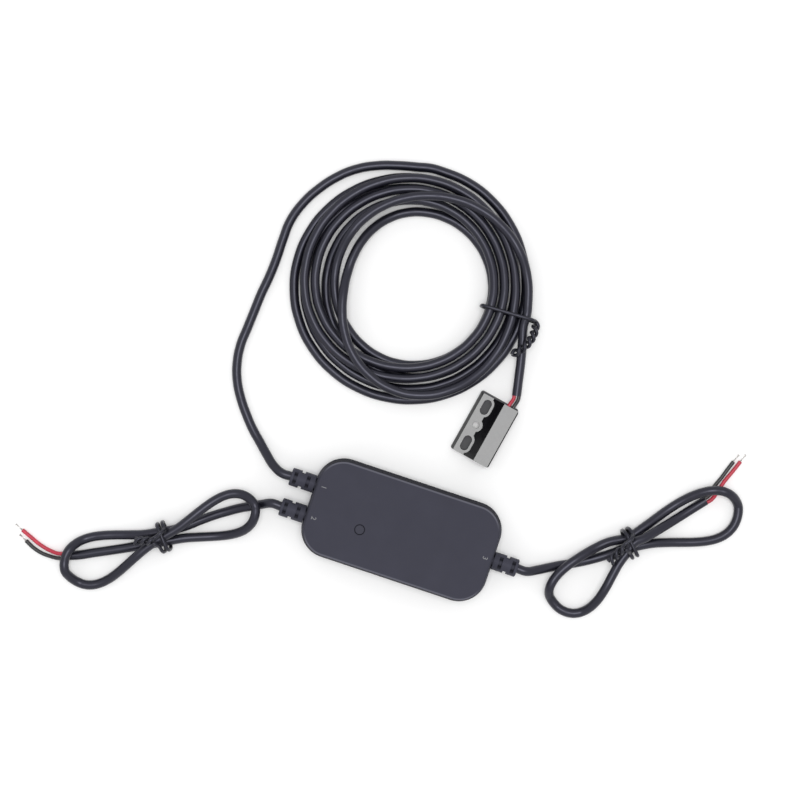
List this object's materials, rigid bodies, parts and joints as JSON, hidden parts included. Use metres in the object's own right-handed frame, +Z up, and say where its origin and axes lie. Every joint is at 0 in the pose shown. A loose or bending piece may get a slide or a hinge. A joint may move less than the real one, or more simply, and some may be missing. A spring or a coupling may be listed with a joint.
{
  "type": "garage door controller",
  "caption": "Rounded garage door controller box with a push button, ringed strain reliefs, tied cords with stripped wire ends, and a coiled cord to a screw-on door sensor.",
  "frame": {"origin": "middle of the underside of the box, on the surface it stands on", "axes": "+Z up out of the box's top, +X along the box towards the end with one cord, +Y towards the coil"},
  "size_m": [0.3049, 0.2276, 0.017],
  "materials": {
    "case_charcoal": "fine matte texture",
    "button_charcoal": "satin",
    "screw_steel": "zinc plated",
    "board_green": "solder mask",
    "radio_blue": "solder mask",
    "shield_metal": "tinned",
    "relay_black": "moulded",
    "inductor_grey": "ferrite",
    "capacitor_sleeve": "sleeve",
    "chip_black": "moulded",
    "header_cream": "moulded",
    "plug_white": "moulded",
    "switch_black": "moulded",
    "plunger_cream": "moulded",
    "relief_pvc": "moulded soft vinyl",
    "cord_pvc": "semi-gloss jacket",
    "tie_wire": "coated wire",
    "wire_red": "insulation",
    "wire_black": "insulation",
    "tinned_copper": "tinned strands",
    "sensor_black": "polished",
    "filler_resin": "cast resin",
    "pad_foam": "adhesive foam",
    "reed_glass": "clear",
    "reed_metal": "nickel iron"
  },
  "bodies": {
    "case": {"lower_shell": "case_charcoal", "upper_shell": "case_charcoal", "case_screws": "screw_steel", "circuit_board": "board_green", "radio_board": "radio_blue", "radio_shield": "shield_metal", "relay": "relay_black", "power_inductor": "inductor_grey", "capacitors": "capacitor_sleeve", "regulator_chip": "chip_black", "wire_headers": "header_cream", "wire_plugs": "plug_white", "inner_leads_red": "wire_red", "inner_leads_black": "wire_black", "switch_base": "switch_black", "sensor_relief": "relief_pvc", "trigger_relief": "relief_pvc", "power_relief": "relief_pvc", "sensor_cord_lead": "cord_pvc", "sensor_cord_coil": "cord_pvc", "sensor_cord_tail": "cord_pvc", "coil_tie": "tie_wire", "sensor_wire_red": "wire_red", "sensor_wire_black": "wire_black", "trigger_cord_lead": "cord_pvc", "trigger_cord_bow": "cord_pvc", "trigger_cord_tail": "cord_pvc", "trigger_tie": "tie_wire", "trigger_wire_red": "wire_red", "trigger_wire_black": "wire_black", "trigger_wire_tips": "tinned_copper", "power_cord_lead": "cord_pvc", "power_cord_bow": "cord_pvc", "power_cord_tail": "cord_pvc", "power_tie": "tie_wire", "power_wire_red": "wire_red", "power_wire_black": "wire_black", "power_wire_tips": "tinned_copper", "sensor_housing": "sensor_black", "sensor_filler": "filler_resin", "sensor_pad": "pad_foam", "reed_glass": "reed_glass", "reed_blades": "reed_metal"},
    "button": {"reset_button": "button_charcoal", "switch_plunger": "plunger_cream"}
  },
  "joints": [
    {"name": "button_press", "type": "slide", "parent": "case", "child": "button", "axis": [0, 0, -1], "range_m": [0, 0.0006], "stiffness_N_per_m": 200}
  ]
}
